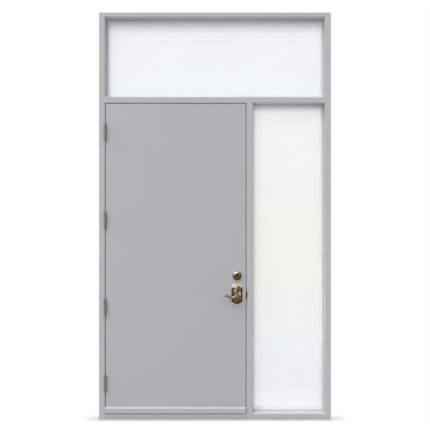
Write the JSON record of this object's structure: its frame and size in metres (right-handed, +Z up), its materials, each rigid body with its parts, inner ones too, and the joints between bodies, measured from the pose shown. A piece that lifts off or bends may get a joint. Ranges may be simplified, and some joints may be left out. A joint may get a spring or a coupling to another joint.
{
  "type": "steel entry door with transom and sidelight",
  "caption": "Flush outward-opening steel door leaf in a welded steel frame with a glazed transom light above, a glazed sidelight beside it, butt hinges, lever latch and deadbolt.",
  "frame": {"origin": "under the middle of the sill on the floor, at half the depth of the frame", "axes": "+X to the right seen from outside, +Y inwards through the door, +Z up"},
  "size_m": [1.8288, 0.2065, 3.2004],
  "materials": {
    "leaf_paint": "light grey satin paint on steel sheet",
    "frame_paint": "light grey satin paint on formed steel",
    "sweep_paint": "light grey satin paint on an aluminium bar",
    "clear_glass": "clear float glass",
    "black_rubber": "matt black sealing rubber",
    "grey_rubber": "light grey glazing rubber",
    "spacer_aluminium": "mill aluminium spacer",
    "satin_steel": "satin stainless steel",
    "bare_steel": "zinc plated steel, mostly hidden",
    "polished_brass": "polished lacquered brass",
    "foam_core": "rigid insulating foam, hidden"
  },
  "bodies": {
    "frame": {"left_jamb": "frame_paint", "right_jamb": "frame_paint", "head": "frame_paint", "sill": "frame_paint", "transom_bar": "frame_paint", "mullion": "frame_paint", "hinge_stop": "frame_paint", "head_stop": "frame_paint", "lock_stop": "frame_paint", "threshold": "frame_paint", "transom_beads": "frame_paint", "sidelight_beads": "frame_paint", "transom_outer_pane": "clear_glass", "transom_inner_pane": "clear_glass", "sidelight_outer_pane": "clear_glass", "sidelight_inner_pane": "clear_glass", "hinge_1_jamb_leaf": "satin_steel", "hinge_2_jamb_leaf": "satin_steel", "hinge_3_jamb_leaf": "satin_steel", "hinge_4_jamb_leaf": "satin_steel", "door_seal": "black_rubber", "glazing_spacers": "spacer_aluminium", "glazing_gaskets": "grey_rubber", "setting_blocks": "black_rubber", "hinge_pins": "satin_steel", "jamb_hinge_plates": "bare_steel", "latch_strike": "satin_steel", "deadbolt_strike": "satin_steel", "strike_backing": "bare_steel", "frame_screws": "satin_steel"},
    "leaf": {"outer_skin": "leaf_paint", "inner_skin": "leaf_paint", "door_core": "foam_core", "end_channels": "leaf_paint", "lock_reinforcement": "bare_steel", "leaf_hinge_plates": "bare_steel", "leaf_screws": "satin_steel", "bottom_sweep": "sweep_paint", "sweep_fin": "black_rubber", "latch_case": "bare_steel", "deadbolt_case": "bare_steel", "outside_escutcheon": "polished_brass", "inside_escutcheon": "polished_brass", "deadbolt_collar": "polished_brass", "deadbolt_cylinder": "polished_brass", "turn_rose": "polished_brass", "lock_screws": "polished_brass", "hinge_1_door_leaf": "satin_steel", "hinge_2_door_leaf": "satin_steel", "hinge_3_door_leaf": "satin_steel", "hinge_4_door_leaf": "satin_steel"},
    "levers": {"outside_lever": "polished_brass", "inside_lever": "polished_brass", "lever_spindle": "bare_steel"},
    "latch": {"latch_bolt": "polished_brass"},
    "turn": {"thumb_turn": "polished_brass"},
    "bolt": {"deadbolt": "polished_brass"},
    "plug": {"cylinder_plug": "polished_brass"}
  },
  "joints": [
    {"name": "door_swing", "type": "hinge", "parent": "frame", "child": "leaf", "pos_m": [-0.86515, -0.085, 1], "axis": [0, 0, -1], "range_deg": [0, 170]},
    {"name": "lever_turn", "type": "hinge", "parent": "leaf", "child": "levers", "pos_m": [0.17335, -0.04925, 0.974], "axis": [0, -1, 0], "range_deg": [0, 45], "stiffness_Nm_per_rad": 1.2, "springref_deg": -28.65},
    {"name": "latch_slide", "type": "slide", "parent": "leaf", "child": "latch", "axis": [1, 0, 0], "range_m": [-0.0127, 0]},
    {"name": "thumb_turn", "type": "hinge", "parent": "leaf", "child": "turn", "pos_m": [0.17335, -0.04925, 1.126], "axis": [0, 1, 0], "range_deg": [0, 90]},
    {"name": "deadbolt_slide", "type": "slide", "parent": "leaf", "child": "bolt", "axis": [1, 0, 0], "range_m": [0, 0.0254]},
    {"name": "plug_turn", "type": "hinge", "parent": "leaf", "child": "plug", "pos_m": [0.17335, -0.04925, 1.126], "axis": [0, 1, 0], "range_deg": [0, 90]}
  ],
  "couplings": [
    {"joint": "latch_slide", "follows": "lever_turn", "m_per_rad": -0.016169},
    {"joint": "thumb_turn", "follows": "deadbolt_slide", "rad_per_m": 61.836},
    {"joint": "plug_turn", "follows": "deadbolt_slide", "rad_per_m": 61.836}
  ]
}
